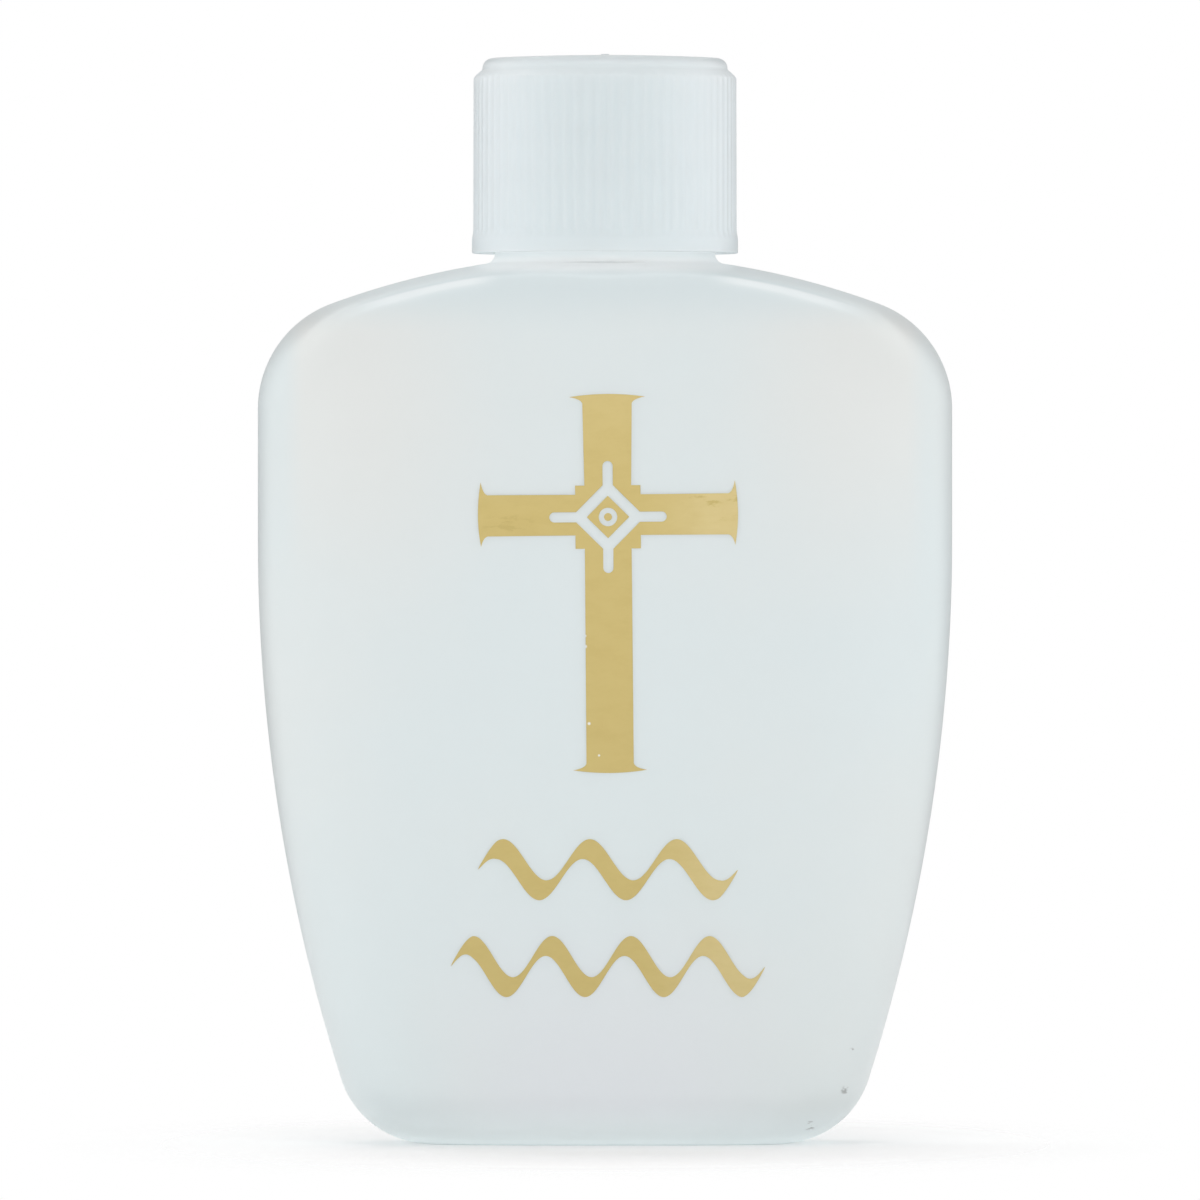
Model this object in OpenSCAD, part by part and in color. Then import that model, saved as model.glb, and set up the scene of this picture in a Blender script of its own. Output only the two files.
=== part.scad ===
// Flat plastic flask for holy water: a blow-moulded bottle, a ribbed screw cap and the cap's foam liner.
// The origin lies on the neck's axis, in the plane that the bottle stands on.
// +Z is up and the broad front face looks towards -Y.

/* [Body, seen from the front] */
// Width of the body at its widest
body_w = 52.7; // [46:0.1:60]
// Height of the shoulder where the neck rises from it
shoulder_h = 66.7; // [58:0.1:78]
// Radius of the arch of the shoulder
shoulder_r = 60; // [45:0.5:90]
// Radius of the upper corners
corner_r = 8.5; // [6:0.1:11]
// Height of the upright stretch of each side under the upper corner
straight_h = 10; // [2:0.1:14]
// Radius of the long curve in which each side draws in towards the foot
side_r = 135; // [110:1:400]
// Radius of the lower corners
foot_r = 7; // [5:0.1:9]

/* [Body, seen from the side] */
// Depth of the body at its deepest
body_d = 25; // [21:0.1:32]
// Height at which the body is deepest
deepest_h = 33; // [26:0.5:42]
// Radius of the swell of the broad faces
face_r = 400; // [250:5:900]
// Radius of the edge between a broad face and the base
sole_r = 4.5; // [3:0.1:6]
// Rounding of the brow, the edge between a broad face and the shoulder
brow_r = 1; // [0.7:0.1:2]
// Radius of the arch of the shoulder from front to back
crown_r = 80; // [50:1:140]

/* [Body, seen from above] */
// Squareness of the plan: 2 is an ellipse, and larger is squarer
plan_power = 4.5; // [3:0.1:6]
// Squareness of the plan at the base
foot_power = 3; // [2:0.1:4]

/* [Wall and base] */
// Thickness of the moulded wall
wall = 1; // [0.6:0.05:1.2]
// Width of the rim that the bottle stands on
rim_w = 2.2; // [1.2:0.1:3]
// Height of the arched base above the rim
push_up = 0.9; // [0.3:0.1:2]

/* [Neck] */
// Diameter of the neck under the threads
neck_d = 15.7; // [13:0.1:19]
// Wall of the neck between its bore and the foot of the threads
neck_wall = 1.55; // [1:0.05:2.2]
// How far the plain collar at the foot of the neck stands out from it
collar_out = 0.5; // [0.2:0.05:0.8]
// Height of the collar above the shoulder
collar_h = 1.8; // [1.2:0.1:3]
// Radius of the hollow between the collar and the shoulder
root_r = 0.8; // [0.4:0.05:1]
// Bevel and rounding at the lip
lip_edge = 0.4; // [0.2:0.05:0.6]

/* [Cap] */
// Height of the cap
cap_h = 15; // [11:0.1:20]
// Gap between the shoulder and the closed cap
cap_gap = 0.8; // [0.3:0.1:2]
// Thickness of the top of the cap
cap_top = 1.2; // [0.8:0.05:2]
// Wall of the cap under its ribs
cap_wall = 0.7; // [0.45:0.05:1.2]
// Room for the threads between the neck and the bore of the cap
thread_room = 1.15; // [0.9:0.05:1.6]
// Number of ribs round the cap
rib_count = 72; // [36:1:90]
// Height of a rib at its foot
rib_out = 0.3; // [0.2:0.05:0.6]
// How much lower a rib stands at its top end
rib_draft = 0.1; // [0:0.01:0.15]
// Distance from the top of the cap down to the ribs
rib_drop = 1.1; // [0.9:0.05:2]
// Height of the plain band at the mouth of the cap
band_h = 1.3; // [0.8:0.1:2.5]
// How far the band stands out past the ribs
band_out = 0.1; // [0.05:0.01:0.3]
// How far the smooth top stands in from the feet of the ribs
crown_in = 0.4; // [0.1:0.05:0.5]
// Rounding of the rim of the top
crown_edge = 0.75; // [0.3:0.05:0.85]
// Rise of the top from its rim to its middle
crown_rise = 0.2; // [0:0.05:0.4]
// Height of the moulding gate at the middle of the top
gate_h = 0.15; // [0.05:0.05:0.4]

/* [Liner] */
// Thickness of the foam liner
liner_t = 1; // [0.5:0.05:2]
// Play between the liner and the bore of the cap
liner_play = 0.15; // [0.1:0.05:0.3]

/* [Hidden] */
$fn = 96;
plastic = [0.87, 0.895, 0.9];
foam = [0.95, 0.95, 0.93];

// Facets: points round the plan, outside and inside, and rings in each stretch of the outline
plan_steps = 64;
hollow_steps = 40;
foot_steps = 7;
side_steps = 6;
corner_steps = 6;
shoulder_steps = 9;
arc_steps = 8;
// Rings of the arched base, as shares of its half width and half depth, and the power in which it drops
push_rings = [0.3, 0.55, 0.78, 0.92, 1];
push_power = 4;
// Amount by which solids that are joined or cut run into or past each other
overrun = 1;
// Depth by which the hollow at the neck's root dips under the shoulder, so that the two cross cleanly
root_dip = 0.05;
// Width of the level ring of shoulder left outside the neck's root
land_margin = 0.05;

half_w = body_w / 2;
half_d = body_d / 2;

// Neck and cap, from the axis outwards and from the shoulder upwards
neck_r = neck_d / 2;
bore_r = neck_r - neck_wall;
collar_r = neck_r + collar_out;
land_r = collar_r + root_r + land_margin;
cap_z = shoulder_h + cap_gap;
cap_roof = cap_h - cap_top;
lip_z = cap_z + cap_roof - liner_t;
cap_bore_r = neck_r + thread_room;
rib_foot_r = cap_bore_r + cap_wall;
rib_tip_r = rib_foot_r + rib_out;
band_r = rib_tip_r + band_out;
crown_top_r = rib_foot_r - crown_in;
rib_top_z = cap_h - rib_drop;
// Half widths of a rib at its foot and past its tip, as shares of the rib spacing
rib_foot_share = 0.36;
rib_tip_share = 0.12;
// Share of a rib's height that the bevel at its top end takes off
rib_bevel_share = 0.75;
gate_r = 2.5 * gate_h;

// The leg of a right triangle with this hypotenuse and other leg
function leg(r, other) = sqrt(max(0, r * r - other * other));

// Front outline: the centres of its arcs, and the tilt of the lines on which neighbouring arcs meet
shoulder_c = shoulder_h - leg(shoulder_r, land_r);
corner_x = half_w - corner_r;
corner_c = shoulder_c + leg(shoulder_r - corner_r, corner_x);
corner_tilt = asin(corner_x / (shoulder_r - corner_r));
widest_h = corner_c - straight_h;
foot_tilt = asin((widest_h - foot_r) / (side_r - foot_r));
foot_x = half_w - side_r + leg(side_r - foot_r, widest_h - foot_r);

// Side outline: likewise
face_c = half_d - face_r;
sole_y = face_c + leg(face_r - sole_r, deepest_h - sole_r);
crown_c = shoulder_h - leg(crown_r, land_r);
// Power in which a face and the shoulder are blended: the factor makes the brow about as round as asked
brow_fit = 2.3;
brow_power = brow_fit * half_d / brow_r;

// Heights at which one arc gives way to the next, on a skin that lies a depth t inside the outer one
function foot_top(t) = foot_r - (foot_r - t) * sin(foot_tilt);
function corner_top(t) = corner_c + (corner_r - t) * cos(corner_tilt);
function sole_top(t) = sole_r - (sole_r - t) * (deepest_h - sole_r) / (face_r - sole_r);

// Half width of the body at height z, on the skin at depth t
function half_width(z, t) =
    z < foot_top(t) ? foot_x + leg(foot_r - t, foot_r - z)
    : z < widest_h ? half_w - side_r + leg(side_r - t, widest_h - z)
    : z < corner_c ? half_w - t
    : z < corner_top(t) ? corner_x + leg(corner_r - t, z - corner_c)
    : leg(shoulder_r - t, z - shoulder_c);

// How far the broad faces, and the arch of the shoulder without them, stand out at height z
function face_depth(z, t) =
    z < sole_top(t) ? sole_y + leg(sole_r - t, sole_r - z)
    : face_c + leg(face_r - t, z - deepest_h);
function arch_depth(z, t) = leg(crown_r - t, max(0, z - crown_c));

// The longer of two lengths, or somewhat more where they are nearly alike, so that an edge is rounded
function blunt_max(a, b) = pow(pow(a, brow_power) + pow(b, brow_power), 1 / brow_power);

// Half depth of the body at height z, on the skin at depth t
function half_depth(z, t) = 1 / blunt_max(1 / face_depth(z, t), 1 / arch_depth(z, t));

// Squareness of the plan at height z, which rises from the base
function power(z, t) =
    z < foot_r ? foot_power + (plan_power - foot_power) * sin(90 * (z - t) / (foot_r - t)) : plan_power;

// Share of the arched shoulder in the plan at height z: none under the upper corners, all above them
function arch_share(z, t) =
    let (s = max(0, min(1, (z - corner_c) / (corner_top(t) - corner_c))))
    s * s * (3 - 2 * s);

// Heights of the rings from the base to the shoulder, on the skin at depth t
function levels(t) =
    let (side_z = foot_top(t),
         inner_r = shoulder_r - t,
         out_x = corner_x + (corner_r - t) * sin(corner_tilt),
         in_x = leg(inner_r, shoulder_h - t - shoulder_c))
    concat(
        [for (i = [0 : foot_steps - 1]) foot_r - (foot_r - t) * cos((90 - foot_tilt) * i / foot_steps)],
        [for (i = [0 : side_steps]) side_z + (widest_h - side_z) * i / side_steps],
        [for (i = [0 : corner_steps - 1])
            corner_c + (corner_r - t) * sin((90 - corner_tilt) * i / corner_steps)],
        [for (i = [0 : shoulder_steps - 1])
            shoulder_c + leg(inner_r, out_x + (in_x - out_x) * i / shoulder_steps)],
        [shoulder_h - t]);

// Rings of the skin at depth t, from the middle of the arched base to the shoulder.
// Each is a height, two half sizes, a squareness, the arched shoulder's share of it,
// and its half depth as shares of those of the arch and of the faces.
function skin_rings(t) = concat(
    [for (s = push_rings)
        [t + push_up * (1 - pow(s, push_power)), (foot_x - rim_w) * s, (sole_y - rim_w) * s,
         foot_power, 0, 0, 1]],
    [for (z = levels(t))
        let (deep = half_depth(z, t))
        [z, half_width(z, t), deep, power(z, t), arch_share(z, t),
         deep / arch_depth(z, t), deep / face_depth(z, t)]]);

// Points of a ring: a rounded oblong on the body, and an ellipse cut off by both faces on the shoulder
function ring_points(ring, n) =
    [for (i = [0 : n - 1])
        let (x = cos(360 * i / n),
             y = sin(360 * i / n),
             oblong = pow(pow(abs(x), ring[3]) + pow(abs(y), ring[3]), 1 / ring[3]),
             arched = blunt_max(norm([x, y * ring[5]]), abs(y) * ring[6]),
             reach = 1 / (oblong + (arched - oblong) * ring[4]))
        [ring[1] * x * reach, ring[2] * y * reach, ring[0]]];

// A closed skin through rings of n points each, listed from the lowest middle to the top
module loft(rings, n) {
    last = len(rings) - 1;
    sides = [for (k = [0 : last - 1], i = [0 : n - 1])
        let (a = k * n + i, b = k * n + (i + 1) % n)
        each [[a, a + n, b + n], [a, b + n, b]]];
    floor_face = [for (i = [0 : n - 1]) i];
    top_face = [for (i = [n - 1 : -1 : 0]) last * n + i];
    polyhedron([for (ring = rings) each ring_points(ring, n)], concat(sides, [floor_face, top_face]));
}

// A quarter arc of points round a centre, from one angle to the other
function arc(c, r, from, to) =
    [for (i = [0 : arc_steps]) let (a = from + (to - from) * i / arc_steps) c + r * [cos(a), sin(a)]];

// The neck as a solid turning: it rises out of the shoulder by a hollow curve
module neck() {
    foot_z = shoulder_h - root_dip;
    rotate_extrude()
        polygon(concat(
            [[0, shoulder_h - wall / 2], [collar_r + root_r, shoulder_h - wall / 2]],
            arc([collar_r + root_r, foot_z + root_r], root_r, 270, 180),
            [[collar_r, shoulder_h + collar_h - collar_out], [neck_r, shoulder_h + collar_h]],
            arc([neck_r - lip_edge, lip_z - lip_edge], lip_edge, 0, 90),
            [[0, lip_z]]));
}

// What is cut out for the way through the neck, bevelled at the lip
module mouth() {
    rotate_extrude()
        polygon([
            [0, shoulder_h - wall - overrun],
            [bore_r, shoulder_h - wall - overrun],
            [bore_r, lip_z - lip_edge],
            [bore_r + lip_edge, lip_z],
            [bore_r + lip_edge, lip_z + overrun],
            [0, lip_z + overrun]]);
}

// The blow-moulded bottle: one thin skin with an arched base and an open neck
module bottle() {
    color(plastic)
        difference() {
            union() {
                loft(skin_rings(0), plan_steps);
                neck();
            }
            loft(skin_rings(wall), hollow_steps);
            mouth();
        }
}

// The star-shaped plan of the ribs, with tips that run past the cap's outline
module rib_plan() {
    pitch = 360 / rib_count;
    tip = rib_tip_r + rib_out;
    polygon([for (i = [0 : rib_count - 1])
        each [for (corner = [[rib_foot_r, -rib_foot_share], [tip, -rib_tip_share],
                             [tip, rib_tip_share], [rib_foot_r, rib_foot_share]])
            let (turn = pitch * (i + corner[1]))
            corner[0] * [cos(turn), sin(turn)]]]);
}

// The ribs, turned down to the cap's slight draft and bevelled at their top ends
module ribs() {
    top_r = rib_tip_r - rib_draft;
    bevel = (top_r - rib_foot_r) * rib_bevel_share;
    intersection() {
        translate([0, 0, band_h / 2])
            linear_extrude(rib_top_z - band_h / 2)
                rib_plan();
        rotate_extrude()
            polygon([
                [0, 0],
                [rib_tip_r, 0],
                [top_r, rib_top_z - bevel],
                [top_r - 2 * bevel, rib_top_z + bevel],
                [0, rib_top_z + bevel]]);
    }
}

// The plain parts of the cap as a solid turning: the band at its mouth, the core and the smooth top
module cap_core() {
    edge = band_out / 2;
    rotate_extrude()
        polygon(concat(
            [[0, 0], [band_r - edge, 0], [band_r, edge], [band_r, band_h - edge]],
            [[band_r - edge, band_h], [crown_top_r, band_h]],
            arc([crown_top_r - crown_edge, cap_h - crown_rise - crown_edge], crown_edge, 0, 90),
            [[gate_r, cap_h], [gate_r - gate_h, cap_h + gate_h], [0, cap_h + gate_h]]));
}

// The screw cap, standing closed above the shoulder
module cap() {
    color(plastic)
        translate([0, 0, cap_z])
            difference() {
                union() {
                    ribs();
                    cap_core();
                }
                translate([0, 0, -overrun])
                    cylinder(r = cap_bore_r, h = cap_roof + overrun);
            }
}

// The foam disc between the top of the cap and the lip of the bottle
module cap_liner() {
    color(foam)
        translate([0, 0, lip_z])
            cylinder(r = cap_bore_r - liner_play, h = liner_t);
}

bottle();
cap();
cap_liner();
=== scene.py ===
"""Looks of a flat plastic flask for holy water, laid out as a Blender add-on.

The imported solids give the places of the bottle, the cap and the liner. Each operator makes one finished
piece in that frame, in metres, with +Z up and the printed front face towards -Y.
"""

import math

import bpy
import numpy as np
from bpy.props import FloatProperty, FloatVectorProperty, IntProperty, PointerProperty
from bpy.types import NodeSocket, Operator, Panel, PropertyGroup
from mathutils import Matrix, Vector
from mathutils.geometry import delaunay_2d_cdt


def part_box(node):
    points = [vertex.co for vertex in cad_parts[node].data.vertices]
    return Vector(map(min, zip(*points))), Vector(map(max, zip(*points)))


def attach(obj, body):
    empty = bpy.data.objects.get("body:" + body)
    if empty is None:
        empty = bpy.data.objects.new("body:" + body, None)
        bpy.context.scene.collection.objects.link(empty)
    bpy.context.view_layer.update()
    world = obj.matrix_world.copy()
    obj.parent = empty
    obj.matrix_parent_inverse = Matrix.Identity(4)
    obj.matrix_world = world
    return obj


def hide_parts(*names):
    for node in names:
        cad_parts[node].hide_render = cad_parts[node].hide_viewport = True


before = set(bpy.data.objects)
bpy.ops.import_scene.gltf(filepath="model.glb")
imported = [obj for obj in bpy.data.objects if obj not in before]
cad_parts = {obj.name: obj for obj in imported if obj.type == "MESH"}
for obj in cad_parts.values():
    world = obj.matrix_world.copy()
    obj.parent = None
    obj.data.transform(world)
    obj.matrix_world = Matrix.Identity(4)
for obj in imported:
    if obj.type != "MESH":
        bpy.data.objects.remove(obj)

bl_info = {
    "name": "Holy Water Flask",
    "version": (1, 0, 0),
    "blender": (4, 5, 0),
    "location": "View3D > Sidebar > Flask",
    "description": "Makes a milky plastic flask with a ribbed screw cap and a gold foil cross",
    "category": "Object",
}

MM = 0.001
TURN = 2 * math.pi

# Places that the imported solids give
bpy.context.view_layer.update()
BOTTLE_LOW, BOTTLE_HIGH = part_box("bottle")
CAP_LOW, CAP_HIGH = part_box("cap")
LINER_LOW, LINER_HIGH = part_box("cap_liner")
BOTTLE_W, BOTTLE_D = BOTTLE_HIGH.x - BOTTLE_LOW.x, BOTTLE_HIGH.y - BOTTLE_LOW.y

# Height of the foil above the plastic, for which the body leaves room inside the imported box
FOIL = 0.02 * MM

# Makes the edge between a face and the shoulder about as round as asked
BROW_FIT = 2.3

# Power in which the arched base drops to its rim
PUSH_POWER = 4

# Where the flat tip of a rib ends and where its foot begins, as shares of half the spacing of the ribs
RIB_TIP, RIB_FOOT = 0.1, 0.72

# Half width of a thread's crest as a share of its root, and the share of a turn in which it runs out
THREAD_CREST, THREAD_RUN_OUT = 0.14, 0.12

# Width, number of crests and height above the base of each printed wave
WAVES = {"foil_wave_upper": (19.6 * MM, 3, 20.9 * MM), "foil_wave_lower": (23.7 * MM, 4, 13.6 * MM)}

# Share of a wave in which each end comes to a point, and the power of that taper
WAVE_END, WAVE_TAPER = 0.07, 0.6

# Specks and marks on the front face: x, z and reach in millimetres
SCUFFS = [(18.1, 4.2, 0.45), (15.5, 1.5, 0.6), (18.6, 7.2, 0.3)]
PINHOLES = [(-1.2, 31.9, 0.16), (-0.45, 29.5, 0.12), (-1.5, 38.5, 0.14), (-1.5, 37.7, 0.2)]

# Place, width and height, and power of each lamp, in metres and watts; the strip alone is mirrored
LAMPS = {
    "key_lamp": ((-0.45, -0.9, 0.2), (0.9, 0.7), 2.25),
    "fill_lamp": ((0.5, -0.9, 0.15), (0.8, 0.6), 1.85),
    "left_lamp": ((-0.9, 0.1, 0.15), (0.5, 0.6), 2.05),
    "right_lamp": ((0.9, 0.1, 0.15), (0.5, 0.6), 2.3),
    "top_lamp": ((-0.2, 0.4, 0.65), (0.4, 0.4), 1.1),
    "back_lamp": ((0.2, 0.95, 0.22), (0.8, 0.7), 2.6),
    "strip_lamp": ((0.0, -0.62, 0.72), (0.34, 0.035), 1.1),
}
MIRRORED_LAMPS = {"strip_lamp"}

# Cells to the metre of the clouds, ripples and specks in the plastic, and share of cells without a speck
CLOUDS, RIPPLES, SPECKS, SPECKLESS = 38.0, 110.0, 260.0, 0.985

# Cells to the metre of the grain and the worn patches of the foil, of the scuffs, and of the foam
GRAIN, WORN_PATCHES, SCUFF_GRAIN, FOAM_CELLS = 420.0, 110.0, 1300.0, 3200.0

# Place of the most worn foil
WORN_PLACE = (-7.2 * MM, BOTTLE_LOW.y, 46.1 * MM)

# Fineness of the meshes
BOTTLE_AROUND, LINER_AROUND, FLOOR_AROUND = 256, 96, 96
CAP_POINTS_A_RIB, ARC_STEPS = 8, 8
OUTER_STEPS, INNER_STEPS, BASE_STEPS, BARREL_STEPS = 26, 12, 14, 90

# Spacing of points in the foil, in millimetres, shifts that keep inner points off its edges, and what
# counts as one point
FOIL_SPACING, FOIL_SHIFTS, FOIL_MERGE = 0.45, (0.31, 0.37), 1e-5


def length(label, size, text):
    """A length that a user can change, given in millimetres and kept in metres."""
    return FloatProperty(name=label, description=text, default=size * MM, unit="LENGTH", precision=5)


def plain(label, value, text):
    """A plain number that a user can change."""
    return FloatProperty(name=label, description=text, default=value, precision=3)


def colour(label, rgb, text):
    """A colour that a user can change, as linear red, green and blue."""
    return FloatVectorProperty(
        name=label, description=text, default=rgb, size=3, min=0.0, max=1.0, subtype="COLOR"
    )


class FlaskBody(PropertyGroup):
    """Sizes of the moulded body."""

    body_w: length("Body width", BOTTLE_W / MM, "Width of the body at its widest")
    body_d: length("Body depth", (BOTTLE_D - 2 * FOIL) / MM, "Depth of the body at its deepest")
    shoulder_h: length("Shoulder height", 66.7, "Height of the shoulder at the neck")
    shoulder_r: length("Shoulder arch", 60, "Radius of the shoulder's arch, from the front")
    corner_r: length("Upper corners", 8.5, "Radius of the upper corners, from the front")
    straight_h: length("Upright stretch", 10, "Upright stretch of each side under the corner")
    side_r: length("Side curve", 135, "Radius in which each side draws in to the foot")
    foot_r: length("Lower corners", 7, "Radius of the lower corners, from the front")
    deepest_h: length("Deepest height", 33, "Height at which the body is deepest")
    face_r: length("Face swell", 400, "Radius of the swell of the broad faces")
    sole_r: length("Sole edge", 4.5, "Radius of the edge between a broad face and the base")
    brow_r: length("Brow edge", 1, "Rounding of the edge between a broad face and the shoulder")
    crown_r: length("Shoulder crown", 80, "Radius of the shoulder's arch, from the side")
    soft_brow: plain("Soft brow", 0.8, "How far the brow edge fades out in front of the neck, from 0 to 1")
    soft_w: length("Soft brow width", 11, "Distance from the middle in which it fades out")
    plan_power: plain("Squareness", 4.5, "Squareness of the plan, where 2 is an ellipse")
    foot_power: plain("Squareness of the base", 3.0, "Squareness of the plan at the base")
    wall: length("Wall", 1, "Thickness of the moulded wall")
    rim_w: length("Standing rim", 2.2, "Width of the rim that the bottle stands on")
    push_up: length("Arched base", 0.9, "Height of the arched base above the rim")
    seam_h: length("Mould seam", 0.05, "Height of the mould's seam down both sides")


class FlaskNeck(PropertyGroup):
    """Sizes of the neck and of the thread that joins it to the cap."""

    neck_r: length("Neck radius", 7.85, "Radius of the neck under its thread")
    bore_r: length("Bore radius", 6.3, "Radius of the way through the neck")
    collar_out: length("Collar", 0.5, "How far the collar stands out from the neck")
    collar_h: length("Collar height", 1.8, "Height of the collar above the shoulder")
    root_r: length("Neck root", 0.8, "Radius of the hollow between collar and shoulder")
    lip_z: length("Lip height", BOTTLE_HIGH.z / MM, "Height of the lip above the base")
    lip_edge: length("Lip edge", 0.4, "Rounding of the lip")
    pitch: length("Thread pitch", 3.175, "Rise of the thread in one turn")
    turns: plain("Thread turns", 2.0, "Turns of thread round the neck")
    ridge_h: length("Thread height", 0.85, "Height of the thread on the neck")
    ridge_w: length("Thread width", 1.6, "Width of the thread at its root")
    thread_drop: length("Thread end", 1.2, "Distance from the lip down to the end of the thread")


class FlaskCap(PropertyGroup):
    """Sizes of the screw cap and its liner."""

    band_r: length("Band radius", CAP_HIGH.x / MM, "Radius of the plain band at the mouth of the cap")
    band_h: length("Band height", 1.3, "Height of the plain band")
    fade_h: length("Band slope", 0.9, "Height in which the ribs rise from the band")
    bore_r: length("Bore radius", 9.0, "Radius of the bore of the cap")
    roof_t: length("Roof", 1.2, "Thickness of the top of the cap")
    rib_count: IntProperty(name="Ribs", description="Number of ribs round the cap", default=72, min=12)
    rib_foot_r: length("Rib foot radius", 9.945, "Radius at the feet of the ribs")
    rib_out: length("Rib height", 0.055, "Height of a rib at its lower end")
    rib_draft: length("Rib draft", 0.02, "How much lower a rib stands at its top end")
    rib_drop: length("Rib drop", 1.1, "Distance from the top of the cap down to the ribs")
    crown_r: length("Top radius", 9.3, "Radius of the smooth top")
    crown_edge: length("Top edge", 0.75, "Rounding of the rim of the top")
    crown_rise: length("Top rise", 0.2, "Rise of the top from its rim to its middle")
    gate_h: length("Gate", 0.15, "Height of the moulding gate at the middle of the top")
    gate_r: length("Gate radius", 0.375, "Radius of the moulding gate")
    ridge_h: length("Thread height", 0.7, "Height of the thread inside the cap")
    ridge_w: length("Thread width", 1.3, "Width of that thread at its root")


class FlaskPrint(PropertyGroup):
    """Sizes of the gold print on the front face, measured from the crossing of the cross."""

    centre_x: length("Across", 0.22, "Place of the cross to the right of the middle")
    centre_z: length("Up", 47.45, "Height of the crossing above the base")
    arm_l: length("Arm", 9.57, "Length of each arm to the tips of its end")
    head_l: length("Head", 9.05, "Length of the head to the tips of its end")
    stem_l: length("Stem", 19.05, "Length of the stem to the tips of its end")
    arm_w: length("Arm width", 3.06, "Width of the arms")
    stem_w: length("Stem width", 3.52, "Width of the head and the stem")
    flare: length("Flare", 0.1, "Widening of the head towards its end")
    arm_flare: length("Arm flare", 0.02, "Widening of the arms and the stem towards their ends")
    serif_out: length("Serif", 1.0, "How far the ends of head and stem spread past their sides")
    arm_serif: length("Arm serif", 0.78, "How far the ends of the arms spread below them")
    arm_spike: length("Arm spike", 0.98, "How far the ends of the arms spread above them")
    serif_l: length("Serif length", 0.5, "Length of the spread at the end of an arm")
    bulge: length("End bulge", 0.22, "Rise of an arm's end between its tips")
    step_x: length("Step across", 2.46, "Half width of the stepped square at the crossing")
    step_z: length("Step up", 2.38, "Half height of the stepped square at the crossing")
    lozenge: length("Lozenge", 2.78, "Half diagonal of the pierced lozenge")
    core: length("Core", 1.6, "Half diagonal of the gold lozenge inside it")
    ray_x: length("Ray across", 4.42, "Reach of the level pierced rays")
    ray_z: length("Ray up", 4.22, "Reach of the upright pierced rays")
    ray_w: length("Ray width", 0.77, "Width of the pierced rays")
    ring_r: length("Ring", 0.7, "Radius of the pierced ring at the middle")
    dot_r: length("Dot", 0.3, "Radius of the gold dot in the ring")
    arm_rise: length("Arm rise", 0.16, "How far the arms lie above the middle of the crossing")
    tilt: FloatProperty(
        name="Tilt",
        description="Turn of the cross against the clock, as it was stamped",
        default=math.radians(0.5),
        subtype="ANGLE",
    )
    foil_t: length("Foil", FOIL / MM, "Height of the foil above the plastic")
    wave_thick: length("Wave stroke", 2.3, "Thickest stroke of the waves")
    wave_thin: length("Wave hairline", 0.7, "Thinnest stroke of the waves")
    wave_rise: length("Wave rise", 1.5, "Rise of the waves from their middle line")


class FlaskLooks(PropertyGroup):
    """Colours and gloss, some of them painted light and shade."""

    plastic: colour("Plastic", (0.735, 0.8, 0.81), "Milky plastic of the bottle")
    plastic_thin: colour("Thin plastic", (0.78, 0.795, 0.78), "The same where the wall is a little thinner")
    pooled: colour("Thick plastic", (0.755, 0.785, 0.81), "The same where it pooled at the base")
    cap: colour("Cap", (0.7, 0.755, 0.77), "Plastic of the cap")
    # Partly painted light: the cap's cloudy tone, and also lighter towards its left and right sides
    cap_clouds_and_side_light: colour("Thin cap", (0.765, 0.81, 0.83), "The same where it is a little thinner")
    # Painted shade: the smooth top is darker
    cap_top_painted_shade: colour("Cap top", (0.655, 0.7, 0.715), "The same on its smooth top")
    foil: colour("Foil", (0.63, 0.505, 0.207), "Gold foil")
    # Painted sheen: the foil is lighter towards its right side and its top
    foil_painted_sheen: colour("Pale foil", (0.7, 0.578, 0.285), "The same towards its right side and its top")
    foil_rubbed: colour("Rubbed foil", (0.575, 0.455, 0.178), "Foil in rub marks and scratches")
    foam: colour("Foam", (0.85, 0.85, 0.82), "Foamed liner")
    # Painted light: the lowest few millimetres are lighter, against the shade where the base turns down to
    # the floor
    sole_painted_light: colour("Sole", (0.88, 0.95, 0.96), "The same round the standing rim")
    # Painted shade: the tops of the broad faces, under the brow, are darker
    under_brow_painted_shade: colour("Under the brow", (0.69, 0.76, 0.775), "The same at the top of the broad faces")
    # Painted highlight: a lighter line along the fold between the broad faces and the shoulder
    brow: colour("Brow", (0.815, 0.865, 0.875), "The same where the wall thins in the edge of the shoulder")
    # Painted light: the root of the neck is lighter, against the shade under the cap
    neck: colour("Neck", (0.9, 0.94, 0.95), "The same round the neck")
    gloss: plain("Roughness", 0.34, "Roughness of the plastic")
    speck: colour("Speck", (0.2, 0.2, 0.19), "Specks of dust in the plastic")


# Node helpers


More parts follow.
